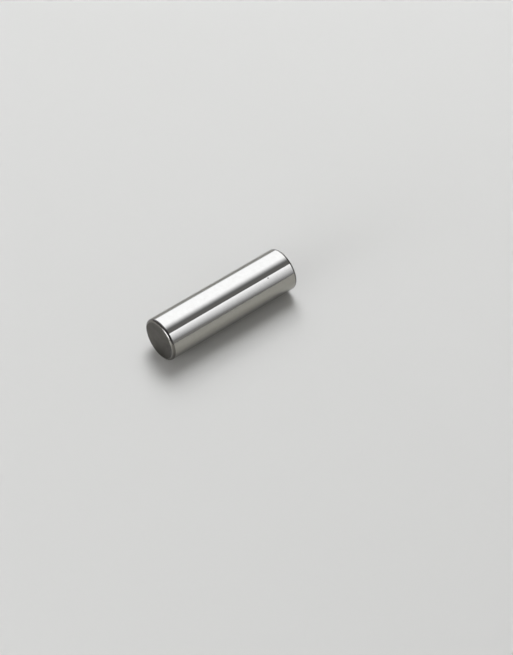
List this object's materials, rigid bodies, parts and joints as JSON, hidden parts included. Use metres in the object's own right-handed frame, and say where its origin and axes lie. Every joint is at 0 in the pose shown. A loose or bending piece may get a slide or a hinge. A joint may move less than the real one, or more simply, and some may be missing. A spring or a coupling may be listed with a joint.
{
  "type": "gudgeon pin",
  "caption": "Solid round steel gudgeon pin with a ground, polished journal, rounded end edges and flat dark end faces; it joins a piston to its connecting rod.",
  "frame": {"origin": "centre of the lower end face, on the pin's axis", "axes": "+Z along the pin's axis, from the end that it stands on to the other end; X and Y are alike, because the pin is round"},
  "size_m": [0.005, 0.005, 0.0173],
  "materials": {
    "ground_steel": "ground and polished journal, dark heat-treated ends"
  },
  "bodies": {
    "root": {"gudgeon_pin": "ground_steel"}
  },
  "joints": []
}
